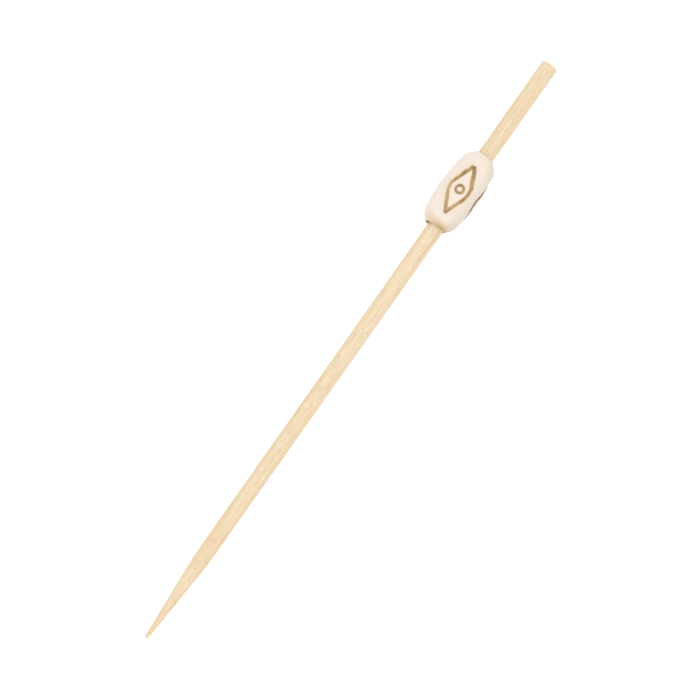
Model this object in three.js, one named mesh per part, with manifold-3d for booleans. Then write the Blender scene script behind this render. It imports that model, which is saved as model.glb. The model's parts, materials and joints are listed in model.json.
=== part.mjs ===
// A bamboo party skewer: a round bamboo stick with a ground point, threaded through a barrel-shaped
// bead that is carved with eye lozenges. Sizes are in millimetres and +Z is up.
// It lies on the plane Z = 0 as it comes to rest, on its bead and on the shoulder of its point. The
// point is towards -X, the butt towards +X, and the origin is under the middle of its length.

import * as THREE from "three";
import { mergeVertices } from "three/addons/utils/BufferGeometryUtils.js";
import Module from "manifold-3d";

// The stick
const stickLength = 120;
const buttDiameter = 3;
const shoulderDiameter = 2.85; // of the shaft where the point begins
const pointLength = 16;
const tipDiameter = 0.65; // the point is ground off blunt
const shoulderRun = 3; // rounded stretch on each side of the shoulder
const buttChamfer = 0.1;

// The bead
const beadLength = 14.7;
const beadDiameter = 7.3; // at its middle
const shoulderFall = 0.7; // how much smaller the radius is at the shoulders
const bevelLength = 1.27; // along the bead, from a shoulder to an end face
const shoulderRounding = 0.9; // rounded stretch on each side of a shoulder
const faceRing = 0.12; // flat ring of the end faces, round the bore
const gripLength = 19.6; // bare stick from the bead to the butt
const beadAside = 0.17; // the bead is glued a little to one side of the stick's axis
const beadTilt = 0.65; // and askew, in degrees
const boreClearance = 0.03; // where the stick lies nearest to the bore

// The carving on the bead, by the middle lines of its grooves
const lozengeLength = 9;
const lozengeWidth = 4.1;
const cornerRun = 1.2; // rounded stretch on each side of a lozenge's side corners
const lozengeGroove = 0.62;
const ringDiameter = 1.34;
const ringGroove = 0.46;
const grooveDepth = 0.18;
const motifShift = 0.28; // of its middle from the bead's, towards the point
const motifTurns = [-5, 98, 227]; // degrees round the bead from the top, spaced by eye

// How finely round shapes are cut
const sides = 48;
const curveSteps = 6;
const halfSide = Math.PI / sides; // turns a flat of the polygon, and not a corner, to the ground

const bamboo = new THREE.MeshStandardMaterial({ color: "#f1dbb9", roughness: 0.65, metalness: 0 });
const creamLacquer = new THREE.MeshStandardMaterial({ color: "#f7ebdc", roughness: 0.4, metalness: 0 });

const library = await Module();
library.setup();

// A closed geometry as a solid that can be joined and cut.
function toSolid(geometry) {
  const bare = geometry.clone();
  bare.deleteAttribute("normal");
  bare.deleteAttribute("uv");
  const merged = mergeVertices(bare);
  return new library.Manifold(
    new library.Mesh({
      numProp: 3,
      vertProperties: merged.attributes.position.array,
      triVerts: new Uint32Array(merged.index.array),
    }),
  );
}

function toGeometry(solid) {
  const mesh = solid.getMesh();
  const geometry = new THREE.BufferGeometry();
  geometry.setAttribute("position", new THREE.BufferAttribute(mesh.vertProperties, 3));
  geometry.setIndex(new THREE.BufferAttribute(mesh.triVerts, 1));
  const faceted = geometry.toNonIndexed();
  faceted.computeVertexNormals();
  return faceted;
}

// A profile of x from the axis and y along it, turned about Y.
function turn(profile) {
  return new THREE.LatheGeometry(profile, sides, halfSide);
}

// Radius of the plain shaft at a distance from the tip.
function shaftRadius(fromTip) {
  const share = (fromTip - pointLength) / (stickLength - pointLength);
  return THREE.MathUtils.lerp(shoulderDiameter, buttDiameter, share) / 2;
}

// The stick's profile, from the middle of its blunt tip to the middle of its butt.
function stickProfile() {
  const tipRadius = tipDiameter / 2;
  const buttRadius = buttDiameter / 2;
  const coneSlope = (shaftRadius(pointLength) - tipRadius) / pointLength;
  const outline = new THREE.Path();
  outline.moveTo(0, 0);
  outline.lineTo(tipRadius, 0);
  outline.lineTo(tipRadius + coneSlope * (pointLength - shoulderRun), pointLength - shoulderRun);
  outline.quadraticCurveTo(
    shaftRadius(pointLength),
    pointLength,
    shaftRadius(pointLength + shoulderRun),
    pointLength + shoulderRun,
  );
  outline.lineTo(shaftRadius(stickLength - buttChamfer), stickLength - buttChamfer);
  outline.lineTo(buttRadius - buttChamfer, stickLength);
  outline.lineTo(0, stickLength);
  return outline.getPoints(curveSteps);
}

// Where the bead sits on the stick, and its bore, which is wide enough to let it sit askew
const halfBead = beadLength / 2;
const beadMiddle = stickLength - gripLength - halfBead; // from the tip
const tilt = THREE.MathUtils.degToRad(beadTilt);
const widestInBore = Math.max(shaftRadius(beadMiddle - halfBead), shaftRadius(beadMiddle + halfBead));
const boreRadius = widestInBore + beadAside + halfBead * Math.tan(tilt) + boreClearance;

// The bead's side is one arc from shoulder to shoulder, and straight bevels run down to its end faces
const endRadius = boreRadius + faceRing;
const shoulderRadius = beadDiameter / 2 - shoulderFall;
const shoulderHeight = halfBead - bevelLength; // from its middle
const sideRadius = (shoulderFall ** 2 + shoulderHeight ** 2) / (2 * shoulderFall);
const sideCentre = beadDiameter / 2 - sideRadius;

// The outer side of the bead, from the lower end face to the upper one.
function beadSide() {
  const arcTurn = Math.asin((shoulderHeight - shoulderRounding) / sideRadius);
  const arcEnd = new THREE.Vector2(Math.cos(arcTurn), Math.sin(arcTurn)).multiplyScalar(sideRadius);
  const bevel = new THREE.Vector2(endRadius - shoulderRadius, bevelLength).setLength(shoulderRounding);
  const bevelStart = bevel.add(new THREE.Vector2(shoulderRadius, shoulderHeight));
  const outline = new THREE.Path();
  outline.moveTo(endRadius, -halfBead);
  outline.lineTo(bevelStart.x, -bevelStart.y);
  outline.quadraticCurveTo(shoulderRadius, -shoulderHeight, sideCentre + arcEnd.x, -arcEnd.y);
  outline.absarc(sideCentre, 0, sideRadius, -arcTurn, arcTurn, false);
  outline.quadraticCurveTo(shoulderRadius, shoulderHeight, bevelStart.x, bevelStart.y);
  outline.lineTo(endRadius, halfBead);
  return outline.getPoints(curveSteps);
}

function beadProfile() {
  const lowerRim = new THREE.Vector2(boreRadius, -halfBead);
  const upperRim = new THREE.Vector2(boreRadius, halfBead);
  return [lowerRim, ...beadSide(), upperRim, lowerRim.clone()];
}

// A lozenge with pointed ends and rounded side corners, grown outwards by an offset.
function drawLozenge(outline, offset) {
  const slant = Math.atan2(lozengeWidth, lozengeLength);
  const halfLength = lozengeLength / 2 + offset / Math.sin(slant);
  const halfWidth = lozengeWidth / 2 + offset / Math.cos(slant);
  const cornerX = halfWidth * (1 - cornerRun / halfLength);
  outline.moveTo(0, -halfLength);
  outline.lineTo(cornerX, -cornerRun);
  outline.quadraticCurveTo(halfWidth, 0, cornerX, cornerRun);
  outline.lineTo(0, halfLength);
  outline.lineTo(-cornerX, cornerRun);
  outline.quadraticCurveTo(-halfWidth, 0, -cornerX, -cornerRun);
  outline.closePath();
  return outline;
}

function lozengeBand() {
  const band = drawLozenge(new THREE.Shape(), lozengeGroove / 2);
  band.holes.push(drawLozenge(new THREE.Path(), -lozengeGroove / 2));
  return band;
}

function ringBand() {
  const band = new THREE.Shape();
  band.absarc(0, 0, (ringDiameter + ringGroove) / 2, 0, 2 * Math.PI, false);
  const middle = new THREE.Path();
  middle.absarc(0, 0, (ringDiameter - ringGroove) / 2, 0, 2 * Math.PI, true);
  band.holes.push(middle);
  return band;
}

// A band drawn at the bead's axis and pushed out through its side.
function pushOut(band) {
  const settings = { depth: beadDiameter, bevelEnabled: false, curveSegments: curveSteps };
  return toSolid(new THREE.ExtrudeGeometry(band, settings)).translate([0, -motifShift, 0]);
}

// What is left of the bead's outline under the grooves.
function uncarvedCore() {
  const radius = sideRadius - grooveDepth;
  const end = Math.asin(halfBead / radius);
  const side = new THREE.Path().absarc(sideCentre, 0, radius, -end, end, false);
  const lowerCentre = new THREE.Vector2(0, -halfBead);
  const upperCentre = new THREE.Vector2(0, halfBead);
  return toSolid(turn([lowerCentre, ...side.getPoints(curveSteps), upperCentre]));
}

// What the carver takes out, one solid for each motif.
function carving() {
  const motif = pushOut(lozengeBand()).add(pushOut(ringBand())).subtract(uncarvedCore());
  return motifTurns.map((degrees) => motif.rotate([0, degrees, 0]));
}

function makeStick() {
  const mesh = new THREE.Mesh(turn(stickProfile()), bamboo);
  mesh.name = "bamboo_stick";
  return mesh;
}

function makeBead() {
  let solid = toSolid(turn(beadProfile()));
  for (const motif of carving()) solid = solid.subtract(motif);
  const mesh = new THREE.Mesh(toGeometry(solid), creamLacquer);
  mesh.name = "carved_bead";
  mesh.position.set(-beadAside, beadMiddle, 0);
  mesh.rotation.z = -tilt;
  return mesh;
}

// Slope of the line that touches both the stick and the bead from below.
function restSlope() {
  const flat = Math.cos(halfSide); // the polygon's flats lie nearer the axis than its corners
  const slopes = stickProfile().map((onStick) =>
    Math.max(...beadSide().map((onBead) =>
      (onBead.x - onStick.x) * flat / (onBead.y + beadMiddle - onStick.y))));
  return Math.min(...slopes.filter((slope) => slope > 0));
}

// The stick's own axis is the lathe's Y. Here it runs along +X and rises towards the butt.
const lying = new THREE.Group();
lying.rotation.set(0, -Math.atan(restSlope()), -Math.PI / 2);
lying.add(makeStick(), makeBead());

const skewer = new THREE.Group();
skewer.add(lying);
skewer.updateMatrixWorld(true);
const extent = new THREE.Box3().setFromObject(skewer, true);
const middle = extent.getCenter(new THREE.Vector3());
lying.position.set(-middle.x, -middle.y, -extent.min.z);

export default skewer;
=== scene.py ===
import json
import math

import bpy
import numpy as np
from mathutils import Matrix, Vector, noise


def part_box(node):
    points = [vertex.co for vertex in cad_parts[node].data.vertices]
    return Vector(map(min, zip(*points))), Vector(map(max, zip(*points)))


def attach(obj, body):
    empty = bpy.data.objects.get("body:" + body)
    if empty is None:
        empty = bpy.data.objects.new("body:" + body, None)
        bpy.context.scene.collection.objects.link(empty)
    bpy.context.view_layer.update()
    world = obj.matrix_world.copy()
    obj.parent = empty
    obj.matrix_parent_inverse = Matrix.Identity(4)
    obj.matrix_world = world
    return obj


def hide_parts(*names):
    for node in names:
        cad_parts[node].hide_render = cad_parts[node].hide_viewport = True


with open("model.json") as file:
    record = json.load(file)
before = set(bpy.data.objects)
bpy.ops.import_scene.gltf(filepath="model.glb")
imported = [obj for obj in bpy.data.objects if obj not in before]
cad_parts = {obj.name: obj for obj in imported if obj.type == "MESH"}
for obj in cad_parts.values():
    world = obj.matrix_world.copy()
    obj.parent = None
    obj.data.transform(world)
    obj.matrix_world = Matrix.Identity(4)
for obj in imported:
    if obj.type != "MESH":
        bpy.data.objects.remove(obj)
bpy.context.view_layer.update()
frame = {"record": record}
mm = 0.001
wholeTurn = 2 * math.pi
print("skewer: frame loaded")


# Where the skewer lies: the axes of its two pieces, from the frame

def mount(name):
    found = next(m for m in frame["record"]["mounts"] if m["name"] == name)
    return Vector(found["pos_m"]), Vector(found["axis"]).normalized()


tipMiddle = mount("tip_end")[0]
buttMiddle = mount("butt_end")[0]
alongStick = (buttMiddle - tipMiddle).normalized()
riseAngle = math.asin(alongStick.z)
stickLength = (buttMiddle - tipMiddle).length / mm
foodStop, awayFromBead = mount("food_stop")
alongBead = -awayFromBead  # the bead sits a little askew on the stick
beadLow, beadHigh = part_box("carved_bead")
beadMiddle = (beadLow + beadHigh) / 2
halfBead = (beadMiddle - foodStop).dot(alongBead) / mm
beadReach = (beadHigh.y - beadLow.y) / 2 / mm


# Helpers for both pieces. Lengths are in millimetres, and angles in radians from the top.

def smoothStep(low, high, value):
    share = np.clip((value - low) / (high - low), 0, 1)
    return share * share * (3 - 2 * share)


def bump(value, middle, reach):
    return np.exp(-(((value - middle) / reach) ** 2))


def bendBetween(start, corner, end, share):
    return (1 - share) ** 2 * start + 2 * share * (1 - share) * corner + share ** 2 * end


def allRound(count):
    return np.linspace(0, wholeTurn, count, endpoint=False)


def turnFrom(turn, angle):
    return (angle - turn + math.pi) % wholeTurn - math.pi


seedStep = np.array((13.7, 5.1, 9.3))  # moves the noise, so that no two seeds look alike


def smoothNoise(points, seed):
    shifted = points + seedStep * seed
    values = [noise.noise(Vector(p)) for p in shifted.reshape(-1, 3)]
    return np.array(values).reshape(points.shape[:-1])


def roundPoints(height, angle, radius, acrossScale, alongScale):
    # Places on a round piece for the noise, scaled apart across and along it
    side, top = np.sin(angle) * radius * acrossScale, np.cos(angle) * radius * acrossScale
    return np.stack(np.broadcast_arrays(side, top, height * alongScale), axis=-1)


def placeRound(start, along, height, angle, radius):
    # World places by height along an axis, angle from its top towards -Y, and radius
    side = (Vector((0, -1, 0)) + along * along.y).normalized()
    top = side.cross(along)
    height, angle, radius = (a[..., None] for a in np.broadcast_arrays(height, angle, radius))
    out = np.sin(angle) * np.array(side) + np.cos(angle) * np.array(top)
    return np.array(start) + mm * (height * np.array(along) + radius * out)


# A closed skin from rings of points. Open ends are closed with a fan, and a loop joins its last
# ring to its first.

def skinMesh(name, rings, loop=False):
    count, around = rings.shape[:2]
    corners = np.arange(count * around).reshape(count, around)
    beside = np.roll(corners, -1, axis=1)
    above, aboveBeside = np.roll(corners, -1, axis=0), np.roll(beside, -1, axis=0)
    quads = np.stack((corners, above, aboveBeside, beside), axis=-1)
    points = rings.reshape(-1, 3).tolist()
    if loop:
        faces = quads.reshape(-1, 4).tolist()
    else:
        faces = quads[:-1].reshape(-1, 4).tolist()
        first, last = len(points), len(points) + 1
        points += [rings[0].mean(axis=0).tolist(), rings[-1].mean(axis=0).tolist()]
        faces += [(first, int(a), int(b)) for a, b in zip(corners[0], beside[0])]
        faces += [(last, int(b), int(a)) for a, b in zip(corners[-1], beside[-1])]
    mesh = bpy.data.meshes.new(name)
    mesh.from_pydata(points, [], faces)
    mesh.shade_smooth()
    piece = bpy.data.objects.new(name, mesh)
    bpy.context.collection.objects.link(piece)
    return piece


def paintField(piece, name, values):
    field = piece.data.attributes.new(name, "FLOAT", "POINT")
    field.data.foreach_set("value", values.ravel().astype(np.float32))


# Materials

class Finish:
    def __init__(self, name, roughness, specular):
        self.material = bpy.data.materials.new(name)
        self.material.use_nodes = True
        self.tree = self.material.node_tree
        self.shader = self.tree.nodes["Principled BSDF"]
        self.shader.inputs["Specular IOR Level"].default_value = specular
        self.shader.inputs["Roughness"].default_value = roughness
        self.place = self.node("ShaderNodeTexCoord").outputs["Object"]

    def node(self, kind, inputs=None, **settings):
        made = self.tree.nodes.new(kind)
        for key, value in settings.items():
            setattr(made, key, value)
        for key, value in (inputs or {}).items():
            if isinstance(value, bpy.types.NodeSocket):
                self.tree.links.new(value, made.inputs[key])
            else:
                made.inputs[key].default_value = value
        return made

    def grainPlace(self, acrossScale, alongScale):
        # The object's place turned so that X runs along the stick, then counted in repeats per metre
        turned = self.node("ShaderNodeMapping", {"Vector": self.place, "Rotation": (0, riseAngle, 0)})
        scale = (alongScale, acrossScale, acrossScale)
        return self.node("ShaderNodeMapping", {"Vector": turned.outputs[0], "Scale": scale}).outputs[0]

    def noise(self, acrossScale, alongScale, detail, roughness=0.5):
        inputs = {"Vector": self.grainPlace(acrossScale, alongScale), "Scale": 1}
        inputs.update({"Detail": detail, "Roughness": roughness})
        return self.node("ShaderNodeTexNoise", inputs).outputs["Fac"]

    def levels(self, value, low, high, lowOut=0, highOut=1):
        inputs = {"Value": value, "From Min": low, "From Max": high, "To Min": lowOut, "To Max": highOut}
        return self.node("ShaderNodeMapRange", inputs, interpolation_type="SMOOTHSTEP").outputs[0]

    def math(self, operation, first, second):
        return self.node("ShaderNodeMath", {0: first, 1: second}, operation=operation).outputs[0]

    def mix(self, share, first, second):
        inputs = {0: share, 6: first, 7: second}  # 6 and 7 are the node's colours
        return self.node("ShaderNodeMix", inputs, data_type="RGBA").outputs[2]

    def tint(self, colour, fields, tints, tones):
        for name, start, full, strength, toneName in tints:
            share = self.levels(fields[name], start, full, 0, strength)
            colour = self.mix(share, colour, tones[toneName])
        return colour

    def field(self, name):
        return self.node("ShaderNodeAttribute", attribute_name=name).outputs["Fac"]

    def relief(self, height, distance):
        inputs = {"Height": height, "Distance": distance, "Strength": 1}
        return self.node("ShaderNodeBump", inputs).outputs[0]

    def use(self, **sockets):
        for key, value in sockets.items():
            self.tree.links.new(value, self.shader.inputs[key])
        return self.material


def tone(red, green, blue):
    shares = np.array((red, green, blue)) / 255
    linear = np.where(shares <= 0.04045, shares / 12.92, ((shares + 0.055) / 1.055) ** 2.4)
    return (*linear.tolist(), 1)


# The bamboo stick

stick = {
    "buttDiameter": 3.0,
    "shoulderDiameter": 2.85,
    "pointLength": 16.0,
    "shoulderRun": 3.0,
    "tipDiameter": 0.65,
    "edgeBreak": 0.1,
    "tipEdgeBreak": 0.02,
    "around": 144,
    "ringGap": 0.22,
    "firstRings": (0.05, 0.12),  # heights of two extra rings by the tip
    "seed": 41,
    "ridgeGrain": (4.2, 0.045),  # repeats a millimetre across and along
    "fineGrain": (9.5, 0.12),
    "ridgeHeight": 0.016,
    "ridgeShare": 0.9,
    "fineShare": 0.45,
    "sunk": 0.01,
    "ovalHeight": 0.006,
    "ovalTwist": 0.03,
    "lobeHeight": 0.004,
    "lobeTwist": 0.05,
    "leastSunk": 0.003,
    "reliefAtTip": 0.4,  # share of the relief that the grinding left there
    "reliefRun": 12,
    "checks": 16,
    "checkPlaces": (20, 118),
    "checkReach": (4, 17),
    "checkLean": (-0.01, 0.01),
    "checkDepth": (0.015, 0.035),
    "checkWidth": 0.05,
    "slivers": 7,
    "sliverPlaces": (14, 116),
    "sliverReach": (0.8, 2.2),
    "sliverHeight": 0.016,
    "sliverWidth": 0.045,
    "facets": 11,
    "facetShare": 0.55,
    "facetDrift": 0.22,
    "facetWave": 0.31,
    "facetUneven": 0.1,
    "facetsEnd": 1,  # past the shoulder
    "facetsFull": 5,  # before it
    "endShares": (1, 0.97, 0.93, 0.88, 0.8, 0.7, 0.6, 0.5, 0.4, 0.3, 0.2, 0.1),  # radii of the end's rings
    "endSunk": 0.015,
    "endRough": 0.02,
    "endGrain": (5, 1),
    "endSpeckle": 0.003,
    "endFray": 0.045,
    "frayGrain": (3.5, 1),
    "frayFade": 6,  # how fast it fades inwards, as a power
    "paleStraw": tone(245, 225, 194),
    "warmStraw": tone(238, 212, 172),
    "yellowStraw": tone(240, 214, 163),
    "rosyStraw": tone(242, 212, 180),
    "fibreTan": tone(212, 177, 130),
    # painted highlights: small pale glints along the fibres
    "glintPale": tone(253, 240, 216),
    "poreTan": tone(176, 138, 94),
    "roughness": (0.52, 0.72),  # between the fibres and on them
    "roughLevels": (0.3, 0.7),
    "fibreRelief": 0.6,
    "poreLevels": (0.62, 0.76),
    "poreRelief": 0.5,
    "grainDepth": 0.00003,
    "bundlesPerMetre": 3400,
    "bundleScatter": 0.8,
    "bundleLevels": (0.34, 0.16, 0, 0.7),
    "bundleEdges": (0.1, 0.4),
    "pithGrain": (2400, 400, 4),
    "pithLevels": (0.35, 0.7),
    "cutGrainDepth": 0.00004,
}

# Grain of the bamboo: repeats a metre across and along, detail, and roughness of the noise
bambooGrain = {
    "streaks": (1500, 28, 4, 0.6),
    "fibres": (7000, 90, 3, 0.6),
    "threads": (3600, 16, 1),
    "patches": (260, 70, 3),
    "blushes": (330, 130, 2),
    # painted highlights along the fibres
    "glintFlecks": (4600, 560, 1),
    "pores": (6400, 640, 1),
}

# Tints over the pale straw, one on another: where each starts and is full, how strong it is, its tone
bambooTints = (
    ("streaks", 0.34, 0.7, 0.9, "warmStraw"),
    ("patches", 0.5, 0.72, 0.6, "yellowStraw"),
    ("blushes", 0.52, 0.7, 0.5, "rosyStraw"),
    ("towardsTip", -0.044, -0.059, 0.7, "warmStraw"),
    ("fibres", 0.5, 0.78, 0.34, "fibreTan"),
    ("threads", 0.62, 0.74, 0.5, "fibreTan"),
    # painted highlights: pale glints along the fibres
    ("glintFlecks", 0.6, 0.72, 0.8, "glintPale"),
    ("pores", 0.62, 0.74, 0.34, "poreTan"),
)


def shaftRadius(height):
    share = (height - stick["pointLength"]) / (stickLength - stick["pointLength"])
    return (stick["shoulderDiameter"] + (stick["buttDiameter"] - stick["shoulderDiameter"]) * share) / 2


def stickOutline():
    tip = stick["tipDiameter"] / 2
    point, run = stick["pointLength"], stick["shoulderRun"]
    slope = (shaftRadius(point) - tip) / point
    last = stickLength - stick["edgeBreak"]
    even = np.arange(stick["ringGap"], last - stick["edgeBreak"], stick["ringGap"])
    heights = np.concatenate((stick["firstRings"], even, (last,)))
    cone = tip + slope * heights
    share = np.clip((heights - point + run) / (2 * run), 0, 1)
    start, end = tip + slope * (point - run), shaftRadius(point + run)
    bend = bendBetween(start, shaftRadius(point), end, share)
    shaft = np.where(heights < point + run, bend, shaftRadius(heights))
    return heights, np.where(heights < point - run, cone, shaft)


def stickRelief(height, angle, radius):
    # Ridges of the fibres, long shallow checks between them, and a few slivers that stand up
    draw = np.random.default_rng(stick["seed"])
    ridges = smoothNoise(roundPoints(height, angle, radius, *stick["ridgeGrain"]), seed=1)
    fine = smoothNoise(roundPoints(height, angle, radius, *stick["fineGrain"]), seed=2)
    both = stick["ridgeShare"] * ridges + stick["fineShare"] * fine
    relief = stick["ridgeHeight"] * both - stick["sunk"]
    oval = np.cos(2 * angle + height * stick["ovalTwist"])
    lobes = np.cos(3 * angle - height * stick["lobeTwist"])
    relief = relief + stick["ovalHeight"] * oval + stick["lobeHeight"] * lobes
    for _ in range(stick["checks"]):
        middle, reach = draw.uniform(*stick["checkPlaces"]), draw.uniform(*stick["checkReach"])
        turn = draw.uniform(0, wholeTurn) + draw.uniform(*stick["checkLean"]) * (height - middle)
        depth, off = draw.uniform(*stick["checkDepth"]), turnFrom(turn, angle)
        relief = relief - depth * bump(height, middle, reach) * bump(off, 0, stick["checkWidth"])
    for _ in range(stick["slivers"]):
        middle, reach = draw.uniform(*stick["sliverPlaces"]), draw.uniform(*stick["sliverReach"])
        off = turnFrom(draw.uniform(0, wholeTurn), angle)
        sliver = bump(height, middle, reach) * bump(off, 0, stick["sliverWidth"])
        relief = relief + stick["sliverHeight"] * sliver
    return np.minimum(relief, -stick["leastSunk"])  # nothing stands past the turned outline


def pointFacets(height, angle):
    # The point was turned against a grinding belt, which leaves narrow flats
    wide = wholeTurn / stick["facets"]
    drift, uneven = np.sin(height * stick["facetWave"]), np.sin(3 * angle)
    wander = angle + stick["facetDrift"] * drift + stick["facetUneven"] * uneven
    flat = math.cos(wide / 2) / np.cos(wander % wide - wide / 2)
    end, full = stick["pointLength"] + stick["facetsEnd"], stick["pointLength"] - stick["facetsFull"]
    share = stick["facetShare"] * smoothStep(end, full, height)
    return 1 + share * (flat - 1)


def endRings(height, radius, edgeBreak, outward, seed):
    # A cut end: a broken and slightly frayed edge, then rings that shrink to the middle of a rough face
    draw = np.random.default_rng(seed)
    angle = allRound(stick["around"])
    fray = np.abs(smoothNoise(roundPoints(0, angle, radius, *stick["frayGrain"]), seed + 3))
    frayed = stick["endFray"] * radius * fray
    rings = []
    for share in stick["endShares"]:
        inner = (radius - edgeBreak) * share
        face = roundPoints(0, angle, inner, *stick["endGrain"])
        rough = stick["endRough"] * smoothNoise(face, seed)
        rough = rough + draw.normal(0, stick["endSpeckle"], angle.size)
        deep = stick["endSunk"] + np.abs(rough) + frayed * share ** stick["frayFade"]
        rings.append(placeRound(tipMiddle, alongStick, height - outward * deep, angle, inner))
    return rings


def makeStick():
    heights, radii = (a[:, None] for a in stickOutline())
    angle = allRound(stick["around"])[None, :]
    left = stick["reliefAtTip"]
    strength = left + (1 - left) * smoothStep(0, stick["reliefRun"], heights)
    surface = radii * pointFacets(heights, angle) + strength * stickRelief(heights, angle, radii)
    body = placeRound(tipMiddle, alongStick, heights, angle, surface)
    tipRings = endRings(0, stick["tipDiameter"] / 2, stick["tipEdgeBreak"], outward=-1, seed=5)[::-1]
    buttRings = endRings(stickLength, stick["buttDiameter"] / 2, stick["edgeBreak"], outward=1, seed=6)
    piece = skinMesh("bambooStick", np.stack(tipRings + list(body) + buttRings))
    piece.data.materials.append(makeBamboo())
    piece.data.materials.append(makeCutBamboo())
    cutFaces = np.zeros(len(piece.data.polygons), dtype=np.int32)
    cutFaces[:len(tipRings) * stick["around"]] = 1
    cutFaces[(len(tipRings) + len(body) - 1) * stick["around"]:] = 1  # the butt's rings, then both fans
    piece.data.polygons.foreach_set("material_index", cutFaces)
    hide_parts("bamboo_stick")
    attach(piece, "root")


def makeBamboo():
    finish = Finish("dryBamboo", roughness=0.62, specular=0.35)
    grain = {name: finish.noise(*scales) for name, scales in bambooGrain.items()}
    grain["towardsTip"] = finish.node("ShaderNodeSeparateXYZ", {0: finish.place}).outputs["X"]
    colour = finish.tint(stick["paleStraw"], grain, bambooTints, stick)
    roughness = finish.levels(grain["fibres"], *stick["roughLevels"], *stick["roughness"])
    height = finish.math("MULTIPLY", grain["fibres"], stick["fibreRelief"])
    height = finish.math("ADD", height, grain["streaks"])
    pores = finish.levels(grain["pores"], *stick["poreLevels"], 0, stick["poreRelief"])
    height = finish.math("SUBTRACT", height, pores)
    relief = finish.relief(height, stick["grainDepth"])
    return finish.use(**{"Base Color": colour, "Roughness": roughness, "Normal": relief})


def makeCutBamboo():
    # End grain: the fibre bundles show as darker dots in pale pith
    finish = Finish("cutBamboo", roughness=0.8, specular=0.2)
    bundles = {"Vector": finish.grainPlace(stick["bundlesPerMetre"], 0), "Scale": 1}
    bundles["Randomness"] = stick["bundleScatter"]
    dots = finish.node("ShaderNodeTexVoronoi", bundles).outputs["Distance"]
    pith = finish.noise(*stick["pithGrain"])
    colour = finish.mix(finish.levels(pith, *stick["pithLevels"]), stick["paleStraw"], stick["warmStraw"])
    colour = finish.mix(finish.levels(dots, *stick["bundleLevels"]), colour, stick["poreTan"])
    height = finish.math("ADD", finish.levels(dots, *stick["bundleEdges"]), pith)
    return finish.use(**{"Base Color": colour, "Normal": finish.relief(height, stick["cutGrainDepth"])})


# The carved bead

bead = {
    "boreRadius": 1.77,
    "faceRing": 0.12,
    "shoulderFall": 0.62,
    "bevelLength": 1.27,
    "shoulderRounding": 0.6,
    "around": 360,
    "rings": 226,
    "sideSteps": 60,
    "bendSteps": 30,
    "shiftToPoint": 0.28,  # of the motifs' middles from the bead's
    "turns": (-4.0, 95.5, 227),  # degrees from the top
    "motifReach": (0.95, 6),  # round the bead from a motif's middle, in radians, and along it
    "grooveWidth": 0.7,
    "grooveUneven": 0.12,
    "cutWider": (0.12, 0.16),  # strokes towards the butt, left and right
    "widerAside": (0.2, 0.9),  # from the motif's middle line
    "widerAlong": (0.5, 1.6),
    "cutNarrower": 0.1,  # the left corner
    "narrowerAside": (-1.5, -2.0),
    "strokeDrift": 0.06,
    "driftGrain": (0.9, 0.6),
    "widthGrain": 1.3,  # times the drift's
    "motifsApart": 3.1,  # in the noise, so that no two drift alike
    "grooveDepth": 0.2,
    "grooveRoundness": 0.7,
    "burrHeight": 0.004,
    "burrPlace": (1.2, 0.14),  # its middle and reach across a stroke
    "ringRadius": 0.68,
    "ringWidth": 0.55,
    "ringAside": (0.01, 0.05),  # it was cut a little off the lozenge's middle
    "turnedGrain": (0.35, 0.22),  # repeats a millimetre across and along
    "toolGrain": (0.12, 1.6),
    "worn": 0.007,
    "turnedHeight": 0.01,
    "toolHeight": 0.003,
    "evenAtEnds": 0.4,
    "mouthUneven": (0.02, 0.012),
    # How deep the bore's rings are, how far its mouth is opened there, and how unevenly
    "mouthRings": (
        (0.0, 0.07, 1), (0.05, 0.03, 0.5), (0.14, 0.005, 0), (0.5, 0, 0), (2.5, 0, 0), (5.5, 0, 0),
    ),
    "cream": tone(248, 235, 224),
    "warmCream": tone(246, 230, 214),
    # painted shade: the cream as it looks in shade on the bead's right side
    "shadedCream": tone(226, 216, 196),
    "tintedCream": tone(236, 211, 176),
    "stainGold": tone(205, 173, 122),
    "stainBrown": tone(168, 133, 85),
    "stainDeep": tone(146, 108, 64),  # along the middle of the strokes
    # painted shade: the stain as it looks in shade on the right side
    "shadedStain": tone(138, 106, 66),
    "stainPale": tone(222, 198, 156),
    "bareWood": tone(222, 191, 143),
    "wiped": 0.7,  # largest share of the stain that is lost, low on the bead and left of the motif
    "strokeShade": 0.85,  # painted shade: how far the stain of the second motif, on the right side away from the light, is darkened
    "endTints": (0.78, 0.12, 0.4),  # stain and painted shade by the ends: at the lower end, the upper end, and the share at the far left
    "paintedShadeShares": (0.5, 0.25),  # painted shade on the right side, away from the light, and how much more towards the ends
    # Where these start and are full. Heights are from the bead's middle, ends from the nearer end
    # face, and a side is 1 at the right of the first motif and -1 at its left.
    "wipedHeights": (0.9, -0.8),
    "wipedSides": (0.27, 0.68),  # share at the motif's middle, and what it loses to the right
    "strokeShadeSides": (0.72, 0.9),
    "tintedEnds": (1.9, 0.35),
    "tintedSides": (-1, -0.6),
    "paintedShadeSides": (0.35, 0.8),
    "paintedShadeHeights": (3, 6),
    # the lower mouth's gold-brown: stain and painted shade where the stick enters, more on the right
    "rimEnds": (1.0, 0.1),
    "rimSides": (-0.9, 0.6),
    "boreRadii": (1.87, 1.79),
    "strokeHalo": (5.5, 1.0, 0, 0.2),
    "stainEdge": (1.16, 0.74),  # across a stroke, from clean to stained
    "stainRagged": 0.14,
    "raggedLevels": (0.3, 0.7),
    "bareShare": 0.9,
    "roughness": (0.42, 0.75),  # of the lacquer and of the stain
    "woodRelief": 0.5,
    "brushRelief": 0.25,
    "grainDepth": 0.00002,
}

# Corners of a lozenge's middle line as laid flat, from the motif's middle
lozenge = (
    (-0.37, 4.5), (-0.08, 4.56), (1.64, 1.2), (1.82, 0.14), (1.64, -1.04), (0.22, -4.5),
    (-1.73, -1.02), (-1.95, -0.3), (-2.0, 0.3), (-1.88, 0.8),
)

farFromStroke = 9.0  # stands for places that no stroke comes near

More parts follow.
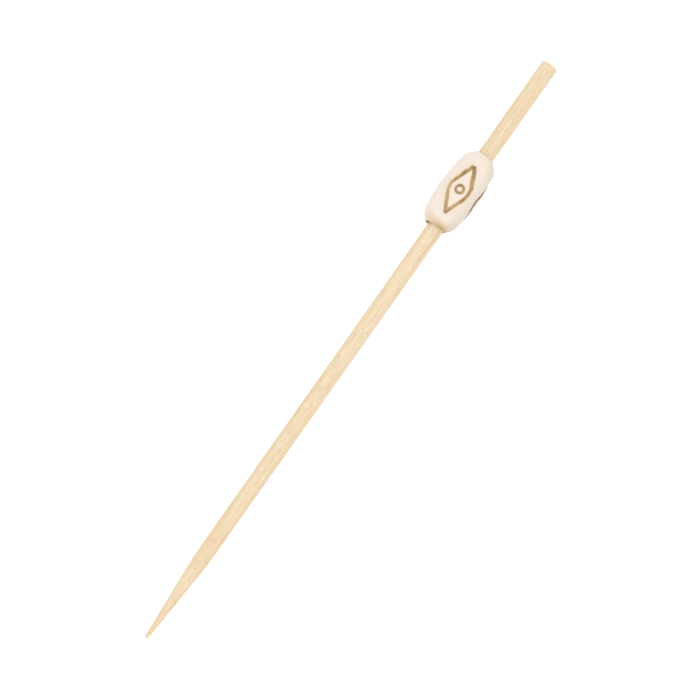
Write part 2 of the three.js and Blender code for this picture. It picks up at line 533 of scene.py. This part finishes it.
# Grain of the lacquer, and its tints and those of the stain, as for the bamboo
lacquerGrain = {
    "clouds": (260, 200, 3),
    "wood": (2600, 160, 3, 0.6),
    "brush": (2400, 2200, 4, 0.65),
    "pools": (700, 520, 2),
}
lacquerTints = (("clouds", 0.35, 0.7, 1, "warmCream"), ("wood", 0.5, 0.8, 0.2, "tintedCream"))
stainTints = (
    ("pools", 0.38, 0.62, 1, "stainBrown"),
    ("brush", 0.45, 0.75, 0.35, "stainGold"),
    ("across", 0.65, 0.1, 0.28, "stainDeep"),
)


def beadOutline():
    endRadius = bead["boreRadius"] + bead["faceRing"]
    fall, rounding = bead["shoulderFall"], bead["shoulderRounding"]
    shoulder = np.array((beadReach - fall, halfBead - bead["bevelLength"]))
    sideRadius = (fall ** 2 + shoulder[1] ** 2) / (2 * fall)
    turn = np.linspace(0, math.asin((shoulder[1] - rounding) / sideRadius), bead["sideSteps"])
    side = np.stack((beadReach - sideRadius + sideRadius * np.cos(turn), sideRadius * np.sin(turn)), axis=1)
    end = np.array((endRadius, halfBead))
    bevelStart = shoulder + (end - shoulder) * rounding / np.linalg.norm(end - shoulder)
    bend = bendBetween(side[-1], shoulder, bevelStart, np.linspace(0, 1, bead["bendSteps"])[1:, None])
    upper = np.concatenate((side, bend, end[None, :]))
    whole = np.concatenate((upper[:0:-1] * (1, -1), upper))
    walked = np.append(0, np.cumsum(np.linalg.norm(np.diff(whole, axis=0), axis=1)))
    steps = np.linspace(0, walked[-1], bead["rings"])
    return np.interp(steps, walked, whole[:, 1]), np.interp(steps, walked, whole[:, 0])


def strokeDistance(x, y, start, end):
    runX, runY = end[0] - start[0], end[1] - start[1]
    share = np.clip(((x - start[0]) * runX + (y - start[1]) * runY) / (runX ** 2 + runY ** 2), 0, 1)
    return np.hypot(x - start[0] - share * runX, y - start[1] - share * runY)


def strokeWidth(x, y, wander):
    # The strokes towards the butt were cut wider than the others, and the left corner narrower
    width = bead["grooveWidth"] * (1 + bead["grooveUneven"] * smoothNoise(wander, seed=4))
    left, right = bead["cutWider"]
    wider = smoothStep(*bead["widerAside"], np.abs(x)) * smoothStep(*bead["widerAlong"], y)
    width += np.where(x > 0, right, left) * wider
    return width - bead["cutNarrower"] * smoothStep(*bead["narrowerAside"], x)


def carve(height, angle, radius):
    # How far each place is across a stroke: 0 on its middle line and 1 at its edge
    across = np.full(height.shape, farFromStroke)
    level = height + bead["shiftToPoint"]
    reachRound, reachAlong = bead["motifReach"]
    acrossScale, alongScale = bead["driftGrain"]
    for number, degrees in enumerate(bead["turns"]):
        turn = turnFrom(math.radians(degrees), angle)
        near = (np.abs(turn) < reachRound) & (np.abs(level) < reachAlong)
        x, y = (radius * turn)[near], level[near]
        own = np.full_like(x, bead["motifsApart"] * number)
        wander = np.stack((x * acrossScale, y * alongScale, own), axis=-1)
        drift = bead["strokeDrift"] * smoothNoise(wander, seed=3)
        halfWidth = strokeWidth(x, y, wander * bead["widthGrain"]) / 2
        sides = zip(lozenge, lozenge[1:] + lozenge[:1])
        band = np.min([strokeDistance(x + drift, y, *side) for side in sides], axis=0) / halfWidth
        fromMiddle = np.hypot(x - bead["ringAside"][0], y - bead["ringAside"][1])
        ring = np.abs(fromMiddle - bead["ringRadius"] + drift / 2) / (bead["ringWidth"] / 2)
        across[near] = np.minimum(across[near], np.minimum(band, ring))
    return across


def mouthRings(angle, end):
    # The bore's mouth is opened with a small countersink, uneven as a hand tool leaves it
    oneSided, lobed = bead["mouthUneven"]
    uneven = oneSided * np.sin(angle) + lobed * np.sin(3 * angle)
    return [(end * (halfBead - deep) + 0 * angle, bead["boreRadius"] + (wide + share * uneven))
            for deep, wide, share in bead["mouthRings"]]


def beadFields(across, heights, radii, angle):
    # What the lacquer reads. Some of it is painted shade: the greyed right side and the darker strokes
    # there, and in part the tints by the ends and at the lower rim
    side = np.sin(angle) + 0 * heights
    fromEnd = halfBead - np.abs(heights)
    lower = heights < 0
    atMiddle, lostToRight = bead["wipedSides"]
    wipedLeft = np.clip(atMiddle - lostToRight * side, 0, 1)
    # by the ends: stain and painted shade where the bead meets the stick, less on the lit left
    lowerTint, upperTint, leftTint = bead["endTints"]
    endTint = np.where(lower, lowerTint, upperTint)
    sideTint = leftTint + (1 - leftTint) * smoothStep(*bead["tintedSides"], side)
    # painted shade on the right side, away from the light, stronger towards the ends
    middleShade, moreShadeAtEnds = bead["paintedShadeShares"]
    shadeStrength = middleShade + moreShadeAtEnds * smoothStep(*bead["paintedShadeHeights"], np.abs(heights))
    return {
        "across": across,
        "wiped": bead["wiped"] * smoothStep(*bead["wipedHeights"], heights) * wipedLeft,
        # painted shade on the strokes of the right side
        "deep": bead["strokeShade"] * smoothStep(*bead["strokeShadeSides"], side),
        "endStainAndShade": smoothStep(*bead["tintedEnds"], fromEnd) * endTint * sideTint,
        "paintedShade": smoothStep(*bead["paintedShadeSides"], side) * shadeStrength,
        "rim": smoothStep(*bead["rimEnds"], fromEnd) * lower * smoothStep(*bead["rimSides"], side),
        "bare": smoothStep(*bead["boreRadii"], radii),
    }


def makeBead():
    angle = allRound(bead["around"])
    height, radius = (a[:, None] + 0 * angle for a in beadOutline())
    across = carve(height, angle + 0 * height, radius)
    groove = bead["grooveDepth"] * np.clip(1 - across ** 2, 0, 1) ** bead["grooveRoundness"]
    burr = bead["burrHeight"] * bump(across, *bead["burrPlace"])
    turned = smoothNoise(roundPoints(height, angle, radius, *bead["turnedGrain"]), seed=7)
    tool = smoothNoise(roundPoints(height, angle, radius, *bead["toolGrain"]), seed=8)
    uneven = bead["worn"] + bead["turnedHeight"] * (turned + 0.5) + bead["toolHeight"] * tool
    surface = radius - groove + burr - uneven * smoothStep(0, bead["evenAtEnds"], halfBead - np.abs(height))
    lower, upper = mouthRings(angle, -1)[::-1], mouthRings(angle, 1)
    heights = np.stack([ring[0] for ring in lower] + list(height) + [ring[0] for ring in upper])
    radii = np.stack([ring[1] for ring in lower] + list(surface) + [ring[1] for ring in upper])
    piece = skinMesh("carvedBead", placeRound(beadMiddle, alongBead, heights, angle, radii), loop=True)
    inBore = np.full((len(lower), bead["around"]), farFromStroke)
    across = np.concatenate((inBore, across, inBore))
    for name, values in beadFields(across, heights, radii, angle).items():
        paintField(piece, name, values)
    piece.data.materials.append(makeLacquer())
    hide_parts("carved_bead")
    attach(piece, "root")


def makeLacquer():
    finish = Finish("creamLacquer", roughness=0.42, specular=0.4)
    grain = {name: finish.noise(*scales) for name, scales in lacquerGrain.items()}
    across = grain["across"] = finish.field("across")
    colour = finish.tint(bead["cream"], grain, lacquerTints, bead)
    halo = finish.levels(across, *bead["strokeHalo"])
    # warmer cream round the strokes, and by the ends, where it is stain and painted shade where the bead
    # meets the stick
    colour = finish.mix(finish.math("MAXIMUM", halo, finish.field("endStainAndShade")), colour, bead["tintedCream"])
    # painted shade: the right side is greyed, as the light comes from the left
    colour = finish.mix(finish.field("paintedShade"), colour, bead["shadedCream"])
    # gold-brown at the lower mouth, more to the right: stain with painted shade where the stick enters the
    # bead
    colour = finish.mix(finish.field("rim"), colour, bead["stainGold"])
    stain = finish.tint(bead["stainGold"], grain, stainTints, bead)
    stain = finish.mix(finish.field("wiped"), stain, bead["stainPale"])
    # painted shade: the strokes of the second motif, on the right side away from the light, are darkened
    stain = finish.mix(finish.field("deep"), stain, bead["shadedStain"])
    reach = bead["stainRagged"]
    ragged = finish.levels(grain["brush"], *bead["raggedLevels"], -reach, reach)
    stained = finish.levels(finish.math("ADD", across, ragged), *bead["stainEdge"])
    colour = finish.mix(stained, colour, stain)
    bare = finish.math("MULTIPLY", finish.field("bare"), bead["bareShare"])
    colour = finish.mix(bare, colour, bead["bareWood"])
    roughness = finish.levels(stained, 0, 1, *bead["roughness"])
    wood = finish.math("MULTIPLY", grain["wood"], bead["woodRelief"])
    brush = finish.math("MULTIPLY", grain["brush"], bead["brushRelief"])
    relief = finish.relief(finish.math("ADD", wood, brush), bead["grainDepth"])
    return finish.use(**{"Base Color": colour, "Roughness": roughness, "Normal": relief})


# Camera, in the photograph's frame of 700 by 700

camera = {
    "pixels": 700,
    "tip": (146.15, 637.85),  # where the middles of the two ends are seen
    "butt": (549.85, 65.65),
    "leanTowardsTip": 10.0,  # degrees from straight above
    "distance": 1.5,  # metres from the tip
    "sensor": 36.0,
    "clip": (0.05, 50),
}


def makeCamera():
    lean = math.radians(camera["leanTowardsTip"])
    side = Vector((0, -1, 0))
    top = side.cross(alongStick)
    forward = math.sin(lean) * alongStick - math.cos(lean) * top
    upright = math.cos(lean) * alongStick + math.sin(lean) * top
    middle = camera["pixels"] / 2
    tipSeen = Vector((camera["tip"][0] - middle, middle - camera["tip"][1]))
    buttSeen = Vector((camera["butt"][0] - middle, middle - camera["butt"][1]))
    tipDepth = camera["distance"]
    buttDepth = tipDepth + stickLength * mm * math.sin(lean)
    reach = buttDepth * buttSeen - tipDepth * tipSeen
    roll = math.atan2(reach.x, reach.y)
    perPixel = stickLength * mm * math.cos(lean) / reach.length  # width of a pixel a metre away
    right = math.cos(roll) * side + math.sin(roll) * upright
    up = math.cos(roll) * upright - math.sin(roll) * side
    lens = bpy.data.cameras.new("photoCamera")
    lens.sensor_width = camera["sensor"]
    lens.lens = camera["sensor"] / (perPixel * camera["pixels"])
    lens.clip_start, lens.clip_end = camera["clip"]
    holder = bpy.data.objects.new("photoCamera", lens)
    bpy.context.collection.objects.link(holder)
    bpy.context.scene.camera = holder
    turn = Matrix((right, up, -forward)).transposed().to_4x4()
    place = tipMiddle - tipDepth * (forward + perPixel * (tipSeen.x * right + tipSeen.y * up))
    holder.matrix_world = Matrix.Translation(place) @ turn
    return right, up, -forward


# Floor and light

studio = {
    "floorSize": 8.0,  # metres, as are the lamp's size and distance
    "floorColour": tone(231, 231, 231),
    "floorGlow": 0.45,
    "skyColour": (1, 1, 1, 1),
    "skyStrength": 0.92,
    "backdropColour": (0.8, 0.8, 0.8, 1),  # what the camera sees past the floor
    "keyPower": 1.62,
    "keySize": 0.7,
    "keyDistance": 1.1,
    "keyTowards": (0.08, 0.12, 1.0),
}


def makeFloor():
    half = studio["floorSize"] / 2
    corners = [(-half, -half, 0), (half, -half, 0), (half, half, 0), (-half, half, 0)]
    mesh = bpy.data.meshes.new("floor")
    mesh.from_pydata(corners, [], [(0, 1, 2, 3)])
    floor = bpy.data.objects.new("floor", mesh)
    bpy.context.collection.objects.link(floor)
    material = bpy.data.materials.new("paleFloor")
    material.use_nodes = True
    tree = material.node_tree
    tree.nodes.clear()
    kinds = ("BsdfDiffuse", "Emission", "AddShader", "OutputMaterial", "LightPath", "Math", "Math", "Math")
    diffuse, glow, both, out, rays, glossy, clear, seen = (tree.nodes.new("ShaderNode" + k) for k in kinds)
    glossy.operation = clear.operation = "MAXIMUM"
    seen.operation = "MULTIPLY"
    seen.inputs[1].default_value = studio["floorGlow"]
    diffuse.inputs["Color"].default_value = studio["floorColour"]
    tree.links.new(rays.outputs["Is Camera Ray"], glossy.inputs[0])
    tree.links.new(rays.outputs["Is Glossy Ray"], glossy.inputs[1])
    tree.links.new(glossy.outputs[0], clear.inputs[0])
    tree.links.new(rays.outputs["Is Transmission Ray"], clear.inputs[1])
    tree.links.new(clear.outputs[0], seen.inputs[0])
    tree.links.new(seen.outputs[0], glow.inputs["Strength"])
    tree.links.new(diffuse.outputs[0], both.inputs[0])
    tree.links.new(glow.outputs[0], both.inputs[1])
    tree.links.new(both.outputs[0], out.inputs["Surface"])
    mesh.materials.append(material)


def makeLight(right, up, back):
    world = bpy.data.worlds.new("studio")
    bpy.context.scene.world = world
    world.use_nodes = True
    tree = world.node_tree
    sky = tree.nodes["Background"]
    sky.inputs["Strength"].default_value = studio["skyStrength"]
    sky.inputs["Color"].default_value = studio["skyColour"]
    kinds = ("Background", "LightPath", "MixShader")
    backdrop, rays, mix = (tree.nodes.new("ShaderNode" + k) for k in kinds)
    backdrop.inputs["Color"].default_value = studio["backdropColour"]
    tree.links.new(rays.outputs["Is Camera Ray"], mix.inputs[0])
    tree.links.new(sky.outputs[0], mix.inputs[1])
    tree.links.new(backdrop.outputs[0], mix.inputs[2])
    tree.links.new(mix.outputs[0], tree.nodes["World Output"].inputs["Surface"])
    lamp = bpy.data.lights.new("key", "AREA")
    lamp.size = studio["keySize"]
    lamp.energy = studio["keyPower"]
    key = bpy.data.objects.new("key", lamp)
    bpy.context.collection.objects.link(key)
    aside, high, near = studio["keyTowards"]
    towards = (aside * right + high * up + near * back).normalized()
    key.location = (tipMiddle + buttMiddle) / 2 + towards * studio["keyDistance"]
    key.rotation_mode = "QUATERNION"
    key.rotation_quaternion = towards.to_track_quat("Z", "Y")
    bpy.context.scene.view_settings.view_transform = "Standard"


view = makeCamera()
print("skewer: camera placed")
makeStick()
print("skewer: stick made")
makeBead()
print("skewer: bead made")
makeFloor()
makeLight(*view)
print("skewer: floor and light made")
